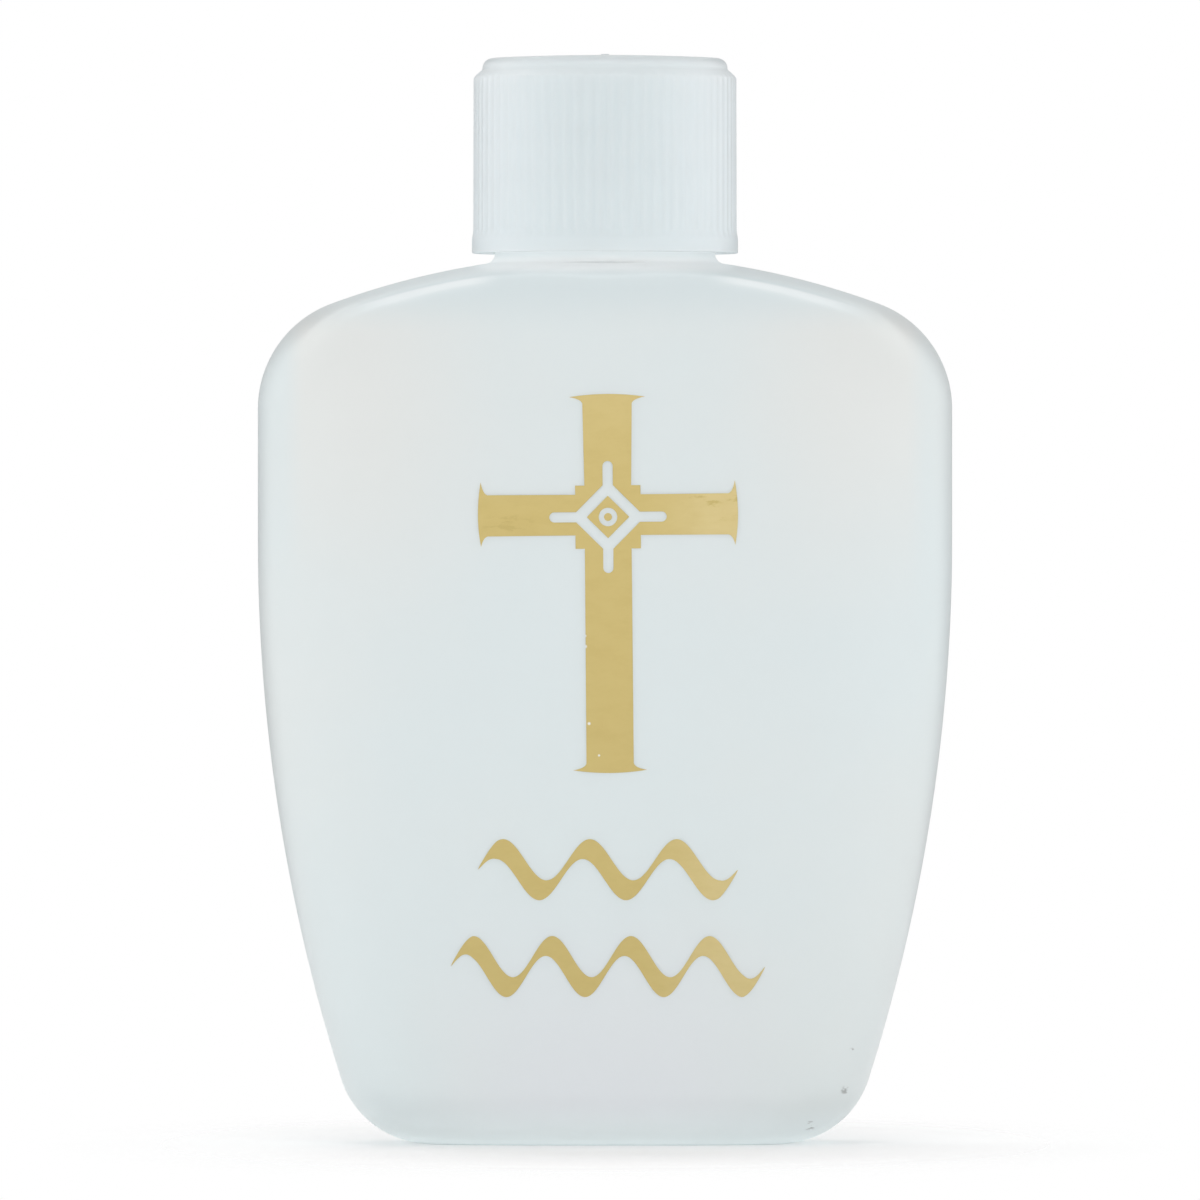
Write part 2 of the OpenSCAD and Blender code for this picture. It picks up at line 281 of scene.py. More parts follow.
class Wiring:
    """Adds nodes to a tree and joins them, so that a formula reads as nested calls."""

    def __init__(self, tree):
        self.tree = tree

    def feed(self, node, feeds):
        """Sets inputs of a node, each to a value or to what another node gives; colours cover fully."""
        for key, value in feeds.items():
            socket = node.inputs[key]
            if isinstance(value, NodeSocket):
                self.tree.links.new(value, socket)
            else:
                socket.default_value = (*value, 1.0) if socket.type == "RGBA" else value

    def node(self, kind, feeds=None, **settings):
        """A new node with these settings and inputs."""
        node = self.tree.nodes.new(kind)
        for key, value in settings.items():
            setattr(node, key, value)
        self.feed(node, feeds or {})
        return node

    def math(self, operation, *values):
        """A step with numbers."""
        return self.node("ShaderNodeMath", dict(enumerate(values)), operation=operation).outputs[0]

    def times(self, product, *factors):
        """The product of all these values."""
        for factor in factors:
            product = self.math("MULTIPLY", product, factor)
        return product

    def vector(self, operation, *values):
        """A step with vectors, which gives a number where it measures."""
        node = self.node("ShaderNodeVectorMath", dict(enumerate(values)), operation=operation)
        return node.outputs["Value" if operation in {"LENGTH", "DISTANCE"} else "Vector"]

    def split(self, place):
        """The x, y and z of a place."""
        return self.node("ShaderNodeSeparateXYZ", {0: place}).outputs

    def ramp(self, value, low, high, out_low=0.0, out_high=1.0, kind="SMOOTHSTEP"):
        """The value taken from one range to another, held at both ends."""
        feeds = dict(enumerate((value, low, high, out_low, out_high)))
        return self.node("ShaderNodeMapRange", feeds, interpolation_type=kind).outputs[0]

    def span(self, value, low, high, *ends):
        """The same for a length, with its range in millimetres."""
        return self.ramp(value, low * MM, high * MM, *ends)


def geometry_tree(name, inputs):
    """A geometry tree with named inputs: its wiring, its input sockets by name, and its output node."""
    tree = bpy.data.node_groups.new(name, "GeometryNodeTree")
    tree.is_modifier = True
    tree.interface.new_socket("Geometry", in_out="INPUT", socket_type="NodeSocketGeometry")
    for label, kind in inputs.items():
        tree.interface.new_socket(label, in_out="INPUT", socket_type=kind)
    tree.interface.new_socket("Geometry", in_out="OUTPUT", socket_type="NodeSocketGeometry")
    wiring = Wiring(tree)
    given = wiring.node("NodeGroupInput").outputs
    return wiring, given, wiring.node("NodeGroupOutput")


def raise_along_radius(wiring, given, output, height):
    """Moves each point away from the Z axis by this height, then realizes and gives the material."""
    place = wiring.node("GeometryNodeInputPosition").outputs[0]
    out = wiring.vector("NORMALIZE", wiring.vector("MULTIPLY", place, (1, 1, 0)))
    step = wiring.node("ShaderNodeVectorMath", {0: out, "Scale": height}, operation="SCALE").outputs[0]
    moved = wiring.node("GeometryNodeSetPosition", {"Geometry": given["Geometry"], "Offset": step})
    real = wiring.node("GeometryNodeRealizeInstances", {"Geometry": moved.outputs[0]})
    feeds = {"Geometry": real.outputs[0], "Material": given["Material"]}
    wiring.feed(output, {"Geometry": wiring.node("GeometryNodeSetMaterial", feeds).outputs[0]})


def turn_of_point(wiring):
    """The turn of a point round the Z axis, from 0 to 1, and its height."""
    place = wiring.node("GeometryNodeInputPosition").outputs[0]
    x, y, z = wiring.split(place)
    return wiring.math("FRACT", wiring.math("DIVIDE", wiring.math("ARCTAN2", y, x), TURN)), z


def weight_of_point(wiring, name):
    """A weight that the mesh holds for each point."""
    return wiring.node("GeometryNodeInputNamedAttribute", {"Name": name}, data_type="FLOAT").outputs[0]


def grip_ribs_tree():
    """Upright ribs round a turned body, where its points have the weight called rib."""
    inputs = {"Count": "NodeSocketInt", "Height": "NodeSocketFloat", "Material": "NodeSocketMaterial"}
    wiring, given, output = geometry_tree("Grip Ribs", inputs)
    turn, _ = turn_of_point(wiring)
    share = wiring.math("FRACT", wiring.times(turn, given["Count"]))
    from_tip = wiring.math("ABSOLUTE", wiring.math("MULTIPLY_ADD", share, 2.0, -1.0))
    profile = wiring.ramp(from_tip, RIB_TIP, RIB_FOOT, 1.0, 0.0)
    height = wiring.times(profile, given["Height"], weight_of_point(wiring, "rib"))
    raise_along_radius(wiring, given, output, height)
    return wiring.tree


def screw_thread_tree():
    """A right-hand thread on a turned body, where its points have the weight called thread."""
    inputs = dict.fromkeys(("Start", "Pitch", "Turns", "Height", "Width", "Run-out"), "NodeSocketFloat")
    inputs["Material"] = "NodeSocketMaterial"
    wiring, given, output = geometry_tree("Screw Thread", inputs)
    turn, z = turn_of_point(wiring)
    risen = wiring.math("DIVIDE", wiring.math("SUBTRACT", z, given["Start"]), given["Pitch"])
    along = wiring.math("ADD", wiring.math("SUBTRACT", risen, turn), 0.5)
    lap = wiring.math("FLOOR", along)
    aside = wiring.math("ABSOLUTE", wiring.math("SUBTRACT", wiring.math("SUBTRACT", along, lap), 0.5))
    aside = wiring.times(aside, given["Pitch"])
    crest, foot = (wiring.times(given["Width"], share) for share in (THREAD_CREST, 0.5))
    profile = wiring.ramp(aside, crest, foot, 1.0, 0.0)
    run = wiring.math("ADD", lap, turn)
    begun = wiring.ramp(run, 0.0, given["Run-out"])
    left = wiring.ramp(wiring.math("SUBTRACT", given["Turns"], run), 0.0, given["Run-out"])
    height = wiring.times(begun, left, profile, given["Height"], weight_of_point(wiring, "thread"))
    raise_along_radius(wiring, given, output, height)
    return wiring.tree


def run_tree(piece, tree, values):
    """Puts a piece through a geometry tree with these input values, and keeps the result as its mesh."""
    modifier = piece.modifiers.new(tree.name, "NODES")
    modifier.node_group = tree
    for item in tree.interface.items_tree:
        if item.in_out == "INPUT" and item.name in values:
            modifier[item.identifier] = values[item.name]
    depsgraph = bpy.context.evaluated_depsgraph_get()
    done = bpy.data.meshes.new_from_object(
        piece.evaluated_get(depsgraph), preserve_all_data_layers=True, depsgraph=depsgraph
    )
    piece.modifiers.remove(modifier)
    raw = piece.data
    piece.data = done
    bpy.data.meshes.remove(raw)


def add_thread(piece, neck, lower, height, width, plastic):
    """Raises a thread that runs with the neck's, from so much lower than that one."""
    values = {
        "Start": neck.lip_z - neck.thread_drop - neck.pitch * neck.turns - lower,
        "Pitch": neck.pitch,
        "Turns": neck.turns,
        "Height": height,
        "Width": width,
        "Run-out": THREAD_RUN_OUT,
        "Material": plastic,
    }
    run_tree(piece, screw_thread_tree(), values)


# Materials


def new_surface(name):
    """A fresh material: itself, its wiring, its shader, and its Object coordinates."""
    material = bpy.data.materials.new(name)
    material.use_nodes = True
    wiring = Wiring(material.node_tree)
    shader = material.node_tree.nodes["Principled BSDF"]
    place = wiring.node("ShaderNodeTexCoord").outputs["Object"]
    return material, wiring, shader, place


def stretched(wiring, place, scale):
    """Coordinates scaled along each axis, for grain that runs one way."""
    return wiring.node("ShaderNodeMapping", {"Vector": place, "Scale": scale}).outputs[0]


def noise(wiring, place, scale, detail=2.0, roughness=0.5):
    """Cloudy noise from 0 to 1, with about so many cells to the metre."""
    feeds = {"Vector": place, "Scale": scale, "Detail": detail, "Roughness": roughness}
    return wiring.node("ShaderNodeTexNoise", feeds).outputs["Fac"]


def blend(wiring, share, first, second):
    """Two colours mixed by a share from 0 to 1."""
    feeds = {"Factor": share, 6: first, 7: second}
    return wiring.node("ShaderNodeMix", feeds, data_type="RGBA").outputs[2]


def bump(wiring, height, strength, distance):
    """Normals that make a surface look raised by a height of at most this distance."""
    feeds = {"Strength": strength, "Distance": distance, "Height": height}
    return wiring.node("ShaderNodeBump", feeds).outputs[0]


def spots(wiring, place, places):
    """Soft round spots on the front face, each at x, z and with a reach in millimetres, as a share."""
    flat = stretched(wiring, place, (1.0, 0.0, 1.0))
    core, share = 0.3, 0.0
    for x, z, reach in places:
        away = wiring.vector("DISTANCE", flat, (x * MM, 0.0, z * MM))
        share = wiring.math("MAXIMUM", share, wiring.span(away, core * reach, reach, 1.0, 0.0))
    return wiring.times(share, wiring.span(wiring.split(place)[1], -2, -1, 1.0, 0.0))


def scuffs(wiring, place):
    """Small broken scuff marks near the lower right corner of the front face, as a share."""
    broken = noise(wiring, stretched(wiring, place, (1.0, 1.0, 2.0)), SCUFF_GRAIN)
    return wiring.times(spots(wiring, place, SCUFFS), wiring.ramp(broken, 0.5, 0.62, 0.0, 0.6))


def bottle_zones(wiring, place, looks):
    """Where the bottle's colour changes, as shares, and its colours there, painted light and shade among
    them.
    """
    x, _, z = wiring.split(place)
    aside = wiring.math("ABSOLUTE", x)
    up = wiring.node("ShaderNodeAttribute", attribute_name="up").outputs["Fac"]
    corner = wiring.times(wiring.span(aside, 6, 19), wiring.span(z, 36, 58))
    corner = wiring.times(corner, wiring.span(aside, 22.5, 24.5, 1.0, 0.0), 0.9)
    pool = wiring.times(wiring.span(aside, 3, 17, 1.0, 0.0), wiring.span(z, 3, 22, 1.0, 0.0))
    beside_neck = wiring.times(wiring.span(aside, 7.5, 10.5), wiring.span(z, 58, 62))
    before_corner = wiring.times(beside_neck, wiring.span(aside, 16, 20.5, 1.0, 0.0))
    # Painted highlight along the brow fold, where the skin faces partly upwards
    fold_highlight = wiring.times(wiring.ramp(up, 0.07, 0.22), wiring.ramp(up, 0.55, 0.8, 1.0, 0.0))
    # Painted light round the root of the neck, under the cap
    root = wiring.times(wiring.span(aside, 8.4, 10.5, 1.0, 0.0), wiring.span(z, 65.7, 66.4))
    root = wiring.times(root, wiring.span(z, 66.8, 67.4, 1.0, 0.4))
    return [
        (corner, looks.plastic_thin),
        (pool, looks.pooled),
        # Painted light: lighter round the standing rim
        (wiring.span(z, 0.5, 3.5, 1.0, 0.0), looks.sole_painted_light),
        # Painted shade: darker at the tops of the broad faces
        (wiring.span(z, 61, 65), looks.under_brow_painted_shade),
        # Painted highlight along the brow
        (wiring.times(fold_highlight, before_corner), looks.brow),
        # Painted light round the root of the neck
        (root, looks.neck),
        (scuffs(wiring, place), looks.speck),
    ]


def cap_zones(wiring, place, looks):
    """The same for the cap, with painted light on its sides and painted shade on its top."""
    x, _, z = wiring.split(place)
    below_top = wiring.math("SUBTRACT", CAP_HIGH.z, z)
    return [
        # Painted light: lighter towards the cap's left and right sides
        (wiring.span(wiring.math("ABSOLUTE", x), 3, 10), looks.cap_clouds_and_side_light),
        # Painted shade on the smooth top
        (wiring.span(below_top, 0.5, 1.1, 1.0, 0.0), looks.cap_top_painted_shade),
    ]


def milky_plastic(name, looks, thick, thin, zones, soak, depth):
    """Milky polyethylene: cloudy colour, satin skin, and light that soaks in to some depth."""
    material, wiring, shader, place = new_surface(name)
    clouds = wiring.ramp(noise(wiring, place, CLOUDS, 3.0), 0.35, 0.7, 0.0, 0.4)
    tint = blend(wiring, clouds, thick, thin)
    for share, shade in zones(wiring, place, looks):
        tint = blend(wiring, share, tint, shade)
    cells = wiring.node("ShaderNodeTexVoronoi", {"Vector": place, "Scale": SPECKS}).outputs
    near = wiring.ramp(cells["Distance"], 0.03, 0.06, 1.0, 0.0)
    chance = wiring.node("ShaderNodeSeparateColor", {0: cells["Color"]}).outputs[0]
    specks = wiring.times(near, wiring.math("GREATER_THAN", chance, SPECKLESS), 0.5)
    ripple, uneven = noise(wiring, place, RIPPLES, 0.0), 0.04
    feeds = {
        "Base Color": blend(wiring, specks, tint, looks.speck),
        "Roughness": wiring.ramp(ripple, 0.0, 1.0, looks.gloss - uneven, looks.gloss + uneven, "LINEAR"),
        "Normal": bump(wiring, ripple, 0.12, 0.05 * MM),
        "IOR": 1.5,
        "Subsurface Weight": soak,
        "Subsurface Radius": (1.0, 1.0, 1.0),
        "Subsurface Scale": depth,
    }
    wiring.feed(shader, feeds)
    return material


def stamped_foil(looks):
    """Matt gold foil, with a fine mottled grain, a painted sheen towards its upper right, a few rubbed
    scratches and pinholes.
    """
    material, wiring, shader, place = new_surface("stamped_gold_foil")
    stretches = (1.0, 1.0, 2.2), (1.0, 1.0, 3.2)
    grain, rub = (noise(wiring, stretched(wiring, place, by), GRAIN, 4.0, 0.65) for by in stretches)
    patches = wiring.ramp(noise(wiring, place, WORN_PATCHES, 1.0), 0.6, 0.72)
    from_wear = wiring.vector("DISTANCE", place, WORN_PLACE)
    worn = wiring.math("MAXIMUM", patches, wiring.span(from_wear, 1.2, 2.6, 1.0, 0.0))
    scratched = wiring.times(wiring.ramp(rub, 0.54, 0.66), worn)
    rubbed = wiring.math("MULTIPLY_ADD", grain, 0.25, scratched)
    x, _, z = wiring.split(place)
    # Painted sheen: lighter towards the right and the top
    pale = wiring.math("MAXIMUM", wiring.span(x, 2, 9), wiring.span(z, 47, 60, 0.0, 0.4))
    gold = blend(wiring, pale, looks.foil, looks.foil_painted_sheen)
    gold = blend(wiring, rubbed, gold, looks.foil_rubbed)
    feeds = {
        "Base Color": blend(wiring, spots(wiring, place, PINHOLES), gold, looks.foam),
        "Metallic": 0.9,
        "Roughness": wiring.ramp(grain, 0.3, 0.7, 0.42, 0.56),
        "Normal": bump(wiring, wiring.math("ADD", grain, scratched), 0.15, 0.02 * MM),
    }
    wiring.feed(shader, feeds)
    return material


def liner_foam(looks):
    """Foamed sheet: fine closed cells under a thin skin."""
    material, wiring, shader, place = new_surface("liner_foam")
    cells = wiring.node("ShaderNodeTexVoronoi", {"Vector": place, "Scale": FOAM_CELLS})
    depth = wiring.ramp(cells.outputs["Distance"], 0.0, 0.8)
    feeds = {
        "Base Color": blend(wiring, depth, looks.foam, [part * 0.9 for part in looks.foam]),
        "Roughness": wiring.ramp(depth, 0.0, 1.0, 0.55, 0.75),
        "Normal": bump(wiring, depth, 0.4, 0.05 * MM),
    }
    wiring.feed(shader, feeds)
    return material


# Meshes


def leg(slant, other):
    """The leg of a right triangle with this hypotenuse and other leg."""
    return math.sqrt(max(0.0, slant * slant - other * other))


def steps(low, high, count):
    """Evenly spaced values from low to high, both included."""
    return [low + (high - low) * i / count for i in range(count + 1)]


def arc(centre, radius, start, end, count=ARC_STEPS):
    """Points of an arc in the plane of radius and height, with its angles in degrees."""
    turns = [math.radians(a) for a in steps(start, end, count)]
    return [(centre[0] + radius * math.cos(a), centre[1] + radius * math.sin(a)) for a in turns]


def squareness(power, around):
    """Cosines and sines of a turn, and how far those points lie out of an oblong with rounded corners."""
    turn = np.linspace(0, TURN, around, endpoint=False)
    x, y = np.cos(turn), np.sin(turn)
    return x, y, (np.abs(x) ** power + np.abs(y) ** power) ** (1 / power)


class FlaskOutline:
    """Front and side outlines of the body as tangent arcs, on the outer skin or a depth t inside it."""

    def __init__(self, body, neck):
        self.s = body
        self.half_w = body.body_w / 2
        self.half_d = body.body_d / 2
        self.land_r = neck.neck_r + neck.collar_out + neck.root_r
        self.shoulder_c = body.shoulder_h - leg(body.shoulder_r, self.land_r)
        self.corner_x = self.half_w - body.corner_r
        across = body.shoulder_r - body.corner_r
        self.corner_c = self.shoulder_c + leg(across, self.corner_x)
        self.corner_tilt = math.asin(self.corner_x / across)
        self.widest_h = self.corner_c - body.straight_h
        drop = self.widest_h - body.foot_r
        self.foot_tilt = math.asin(drop / (body.side_r - body.foot_r))
        self.foot_x = self.half_w - body.side_r + leg(body.side_r - body.foot_r, drop)
        self.face_c = self.half_d - body.face_r
        self.sole_y = self.face_c + leg(body.face_r - body.sole_r, body.deepest_h - body.sole_r)
        self.crown_c = body.shoulder_h - leg(body.crown_r, self.land_r)
        self.brow_power = BROW_FIT * self.half_d / body.brow_r

    def foot_top(self, t):
        return self.s.foot_r - (self.s.foot_r - t) * math.sin(self.foot_tilt)

    def corner_top(self, t):
        return self.corner_c + (self.s.corner_r - t) * math.cos(self.corner_tilt)

    def half_width(self, z, t):
        s = self.s
        if z < self.foot_top(t):
            return self.foot_x + leg(s.foot_r - t, s.foot_r - z)
        if z < self.widest_h:
            return self.half_w - s.side_r + leg(s.side_r - t, self.widest_h - z)
        if z < self.corner_c:
            return self.half_w - t
        if z < self.corner_top(t):
            return self.corner_x + leg(s.corner_r - t, z - self.corner_c)
        return leg(s.shoulder_r - t, z - self.shoulder_c)

    def face_depth(self, z, t):
        """How far the broad faces stand out."""
        s = self.s
        if z < s.sole_r - (s.sole_r - t) * (s.deepest_h - s.sole_r) / (s.face_r - s.sole_r):
            return self.sole_y + leg(s.sole_r - t, s.sole_r - z)
        return self.face_c + leg(s.face_r - t, z - s.deepest_h)

    def arch_depth(self, z, t):
        """How far the arch of the shoulder would stand out without the faces."""
        return leg(self.s.crown_r - t, max(0.0, z - self.crown_c))

    def blunt_max(self, first, second, x):
        """The greater of two values, or somewhat more where they are nearly alike, to round an edge."""
        soft = self.s.soft_brow * np.exp(-((x / self.s.soft_w) ** 2))
        power = self.brow_power * (1 - soft)
        return (first**power + second**power) ** (1 / power)

    def half_depth(self, z, t):
        return 1 / self.blunt_max(1 / self.face_depth(z, t), 1 / self.arch_depth(z, t), 0.0)

    def power(self, z, t):
        """Squareness of the plan, which rises from the base."""
        s = self.s
        if z >= s.foot_r:
            return s.plan_power
        share = math.sin(math.pi / 2 * (z - t) / (s.foot_r - t))
        return s.foot_power + (s.plan_power - s.foot_power) * share

    def ring(self, z, t):
        """A ring of points: a rounded oblong that turns into an ellipse cut off by both faces."""
        x, y, square = squareness(self.power(z, t), BOTTLE_AROUND)
        wide, deep = self.half_width(z, t), self.half_depth(z, t)
        arch = np.hypot(x, y * deep / self.arch_depth(z, t))
        cut = np.abs(y) * deep / self.face_depth(z, t)
        arched = self.blunt_max(arch, cut, wide * x / np.maximum(arch, cut))
        share = min(1.0, max(0.0, (z - self.corner_c) / (self.corner_top(t) - self.corner_c)))
        reach = 1 / (square + (arched - square) * share * share * (3 - 2 * share))
        return np.column_stack([wide * x * reach, deep * y * reach, np.full(len(x), z)])

    def levels(self, t, fineness):
        """Heights of rings from the base to the shoulder, closer where the outline bends."""
        s = self.s
        inner_r = s.shoulder_r - t
        foot = steps(0, math.pi / 2 - self.foot_tilt, fineness)
        corner = steps(0, math.pi / 2 - self.corner_tilt, fineness)
        out_x = self.corner_x + (s.corner_r - t) * math.sin(self.corner_tilt)
        in_x = leg(inner_r, s.shoulder_h - t - self.shoulder_c)
        return (
            [s.foot_r - (s.foot_r - t) * math.cos(a) for a in foot[:-1]]
            + steps(self.foot_top(t), self.widest_h, fineness)
            + [self.corner_c + (s.corner_r - t) * math.sin(a) for a in corner[:-1]]
            + [self.shoulder_c + leg(inner_r, x) for x in steps(out_x, in_x, fineness)[:-1]]
            + [s.shoulder_h - t]
        )

    def front_y(self, x, z):
        """Where the outer skin of the front face lies at a place on it."""
        share = min(1.0, abs(x) / self.half_width(z, 0.0))
        power = self.power(z, 0.0)
        return -self.half_depth(z, 0.0) * (1 - share**power) ** (1 / power)


def oblong(z, a, b, power, around=BOTTLE_AROUND):
    """A ring of points: a level oblong with rounded corners, which is an ellipse at a power of 2."""
    x, y, square = squareness(power, around)
    return np.column_stack([a * x / square, b * y / square, np.full(around, z)])


def circle(r, z, around):
    """A level ring of points round the Z axis."""
    return oblong(z, r, r, 2.0, around)


def new_mesh(name, points, faces):
    """A mesh from an array of points and a list of faces."""
    mesh = bpy.data.meshes.new(name)
    mesh.from_pydata(points.tolist(), [], faces)
    return mesh


def new_object(name, data):
    """An object in the scene."""
    made = bpy.data.objects.new(name, data)
    bpy.context.scene.collection.objects.link(made)
    return made


def shell(name, rings, weights):
    """A closed skin through rings of equal counts, with a pole at each end.

    Its points keep the weights given by ring, and one called up: how far the skin faces upwards.
    """
    around = len(rings[0])
    poles = [ring.mean(axis=0) for ring in (rings[0], rings[-1])]
    points = np.vstack([*rings, *poles])
    first, last = len(points) - 2, len(points) - 1
    here = np.arange(around)
    after = np.roll(here, -1)
    faces = []
    for k in range(len(rings) - 1):
        low, high = k * around, (k + 1) * around
        faces += np.column_stack([low + here, low + after, high + after, high + here]).tolist()
    end = (len(rings) - 1) * around
    faces += [[first, int(j), int(i)] for i, j in zip(here, after)]
    faces += [[last, int(end + i), int(end + j)] for i, j in zip(here, after)]
    mesh = new_mesh(name, points, faces)
    normals = np.empty(3 * len(points))
    mesh.vertex_normals.foreach_get("vector", normals)
    values = {label: np.append(np.repeat(by_ring, around), [0.0, 0.0]) for label, by_ring in weights.items()}
    values["up"] = normals[2::3]
    for label, by_point in values.items():
        mesh.attributes.new(label, "FLOAT", "POINT").data.foreach_set("value", by_point)
    mesh.shade_smooth()
    return new_object(name, mesh)


def finish_piece(piece, body, replaced=()):
    """Gives a piece its body, and hides the solids that it stands for."""
    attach(piece, body)
    if replaced:
        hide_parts(*replaced)


# The gold print


def curve(start, pull, end, count=6):
    """A bent stroke from one point to another, drawn towards a third, without its first point."""
    shares = steps(0.0, 1.0, count)[1:]
    return [
        tuple((1 - u) ** 2 * a + 2 * u * (1 - u) * b + u * u * c for a, b, c in zip(start, pull, end))
        for u in shares
    ]


def arm_side(half, flare, reach, inner, serif, sizes):
    """One side of an upright arm, from the crossing to the middle of its end: points (aside, along)."""
    wide = half + flare
    tip = (wide + serif, reach)
    neck = (wide, reach - sizes.serif_l)
    pull = (wide + 0.1 * MM, reach - 0.15 * MM)
    end = [(tip[0] * u, reach + sizes.bulge * (1 - u**2)) for u in steps(1.0, 0.0, 10)[1:]]
    return [(half, inner), neck, *curve(neck, pull, tip), *end]


def cross_outline(sizes):
    """The cross with spread ends and a stepped crossing, as one loop."""
    half = sizes.stem_w / 2
    head = arm_side(half, sizes.flare, sizes.head_l, sizes.step_z, sizes.serif_out, sizes)
    stem = arm_side(half, sizes.arm_flare, sizes.stem_l, sizes.step_z, sizes.serif_out, sizes)
    level = sizes.arm_w / 2, sizes.arm_flare, sizes.arm_l, sizes.step_x
    above, below = (arm_side(*level, serif, sizes) for serif in (sizes.arm_spike, sizes.arm_serif))
    corner = (sizes.step_x, sizes.step_z)
    right_up = [(b, a + sizes.arm_rise) for a, b in reversed(above)] + [corner] + head
    right_down = [(a, -b) for a, b in reversed(stem)] + [(corner[0], -corner[1])]
    right_down += [(b, sizes.arm_rise - a) for a, b in below[:-1]]
    right = right_down + right_up
    left = [(-x, z) for x, z in reversed(right)][1:-1]
    return right + left


def tilted(loop, angle):
    """A loop turned against the clock."""
    cos, sin = math.cos(angle), math.sin(angle)
    return [(x * cos - z * sin, x * sin + z * cos) for x, z in loop]


def pierced_lozenge(sizes):
    """The pierced lozenge with a round-ended ray at each corner, as one loop."""
    half = sizes.ray_w / 2
    loop = []
    for quarter, reach in enumerate((sizes.ray_z, sizes.ray_x) * 2):
        end = [(half * math.cos(a), reach - half + half * math.sin(a)) for a in steps(0, math.pi, 10)]
        ray = [(half, sizes.lozenge - half), *end, (-half, sizes.lozenge - half)]
        loop += tilted(ray, quarter * math.pi / 2)
    return loop


def disc(radius, count=28):
    """A round loop, or with four points a lozenge."""
    return [(radius * math.cos(TURN * i / count), radius * math.sin(TURN * i / count)) for i in range(count)]


def wave(width, crests, sizes, count=160):
    """A wave drawn with a broad nib: thick where it falls, thin where it rises, pointed at its ends."""
    upper, lower = [], []
    for u in steps(0.0, 1.0, count):
        phase = TURN * crests * u
        swell = 0.5 - 0.5 * math.cos(phase)
        taper = min(1.0, u / WAVE_END, (1 - u) / WAVE_END) ** WAVE_TAPER
        stroke = (sizes.wave_thin + (sizes.wave_thick - sizes.wave_thin) * swell) * taper
        x, z = width * (u - 0.5), sizes.wave_rise * math.sin(phase)
        upper.append((x, z + stroke / 2))
        lower.append((x, z - stroke / 2))
    return lower + upper[-2:0:-1]


def within(points, loops):
    """Which points lie inside an odd number of loops."""
    inside = np.zeros(len(points), bool)
    for loop in loops:
        ends = np.array(loop)
        for (x1, z1), (x2, z2) in zip(ends, np.roll(ends, -1, axis=0)):
            if z1 == z2:
                continue
            crosses = (points[:, 1] < z1) != (points[:, 1] < z2)
            at = x1 + (points[:, 1] - z1) * (x2 - x1) / (z2 - z1)
            inside ^= crosses & (points[:, 0] < at)
    return inside


def divided(loop, longest):
    """A loop with points added so that no stretch is longer than asked."""
    out = []
    for (x1, z1), (x2, z2) in zip(loop, loop[1:] + loop[:1]):
        count = max(1, math.ceil(math.hypot(x2 - x1, z2 - z1) / longest))
        out += [(x1 + (x2 - x1) * i / count, z1 + (z2 - z1) * i / count) for i in range(count)]
    return out


def filled(loops, spacing):
    """Triangles that fill the space between loops, in millimetres, with inner points to follow a face."""
    loops = [divided([(x / MM, z / MM) for x, z in loop], spacing) for loop in loops]
    points, edges = [], []
    for loop in loops:
        start = len(points)
        points += loop
        edges += [(start + i, start + (i + 1) % len(loop)) for i in range(len(loop))]
    first = np.min(points, axis=0) + spacing * np.array(FOIL_SHIFTS)
    across, up = (np.arange(low, high, spacing) for low, high in zip(first, np.max(points, axis=0)))
    grid = np.array([(x, z) for x in across for z in up])
    points += [tuple(p) for p in grid[within(grid, loops)]]
    made = delaunay_2d_cdt([Vector(p) for p in points], edges, [], 0, FOIL_MERGE)
    places = np.array([tuple(v) for v in made[0]])
    triangles = np.array([f for f in made[2]])
    return places, triangles[within(places[triangles].mean(axis=1), loops)]


def foil_piece(name, loops, centre, outline, thickness):
    """Foil cut to loops and laid on the front face: a closed skin that sinks a little into the plastic."""
    places, triangles = filled(loops, FOIL_SPACING)
    used, triangles = np.unique(triangles, return_inverse=True)
    triangles = triangles.reshape(-1, 3)
    places = places[used] * MM + np.array(centre)
    depth = np.array([outline.front_y(x, z) for x, z in places])
    sunk = thickness / 2
    front = np.column_stack([places[:, 0], depth - thickness, places[:, 1]])
    back = np.column_stack([places[:, 0], depth + sunk, places[:, 1]])
    count = len(places)
    edges = {(a, b) for tri in triangles.tolist() for a, b in zip(tri, tri[1:] + tri[:1])}
    faces = triangles.tolist() + (triangles[:, ::-1] + count).tolist()
    faces += [[b, a, a + count, b + count] for a, b in sorted(edges) if (b, a) not in edges]
    return new_object(name, new_mesh(name, np.vstack([front, back]), faces))


# Operators


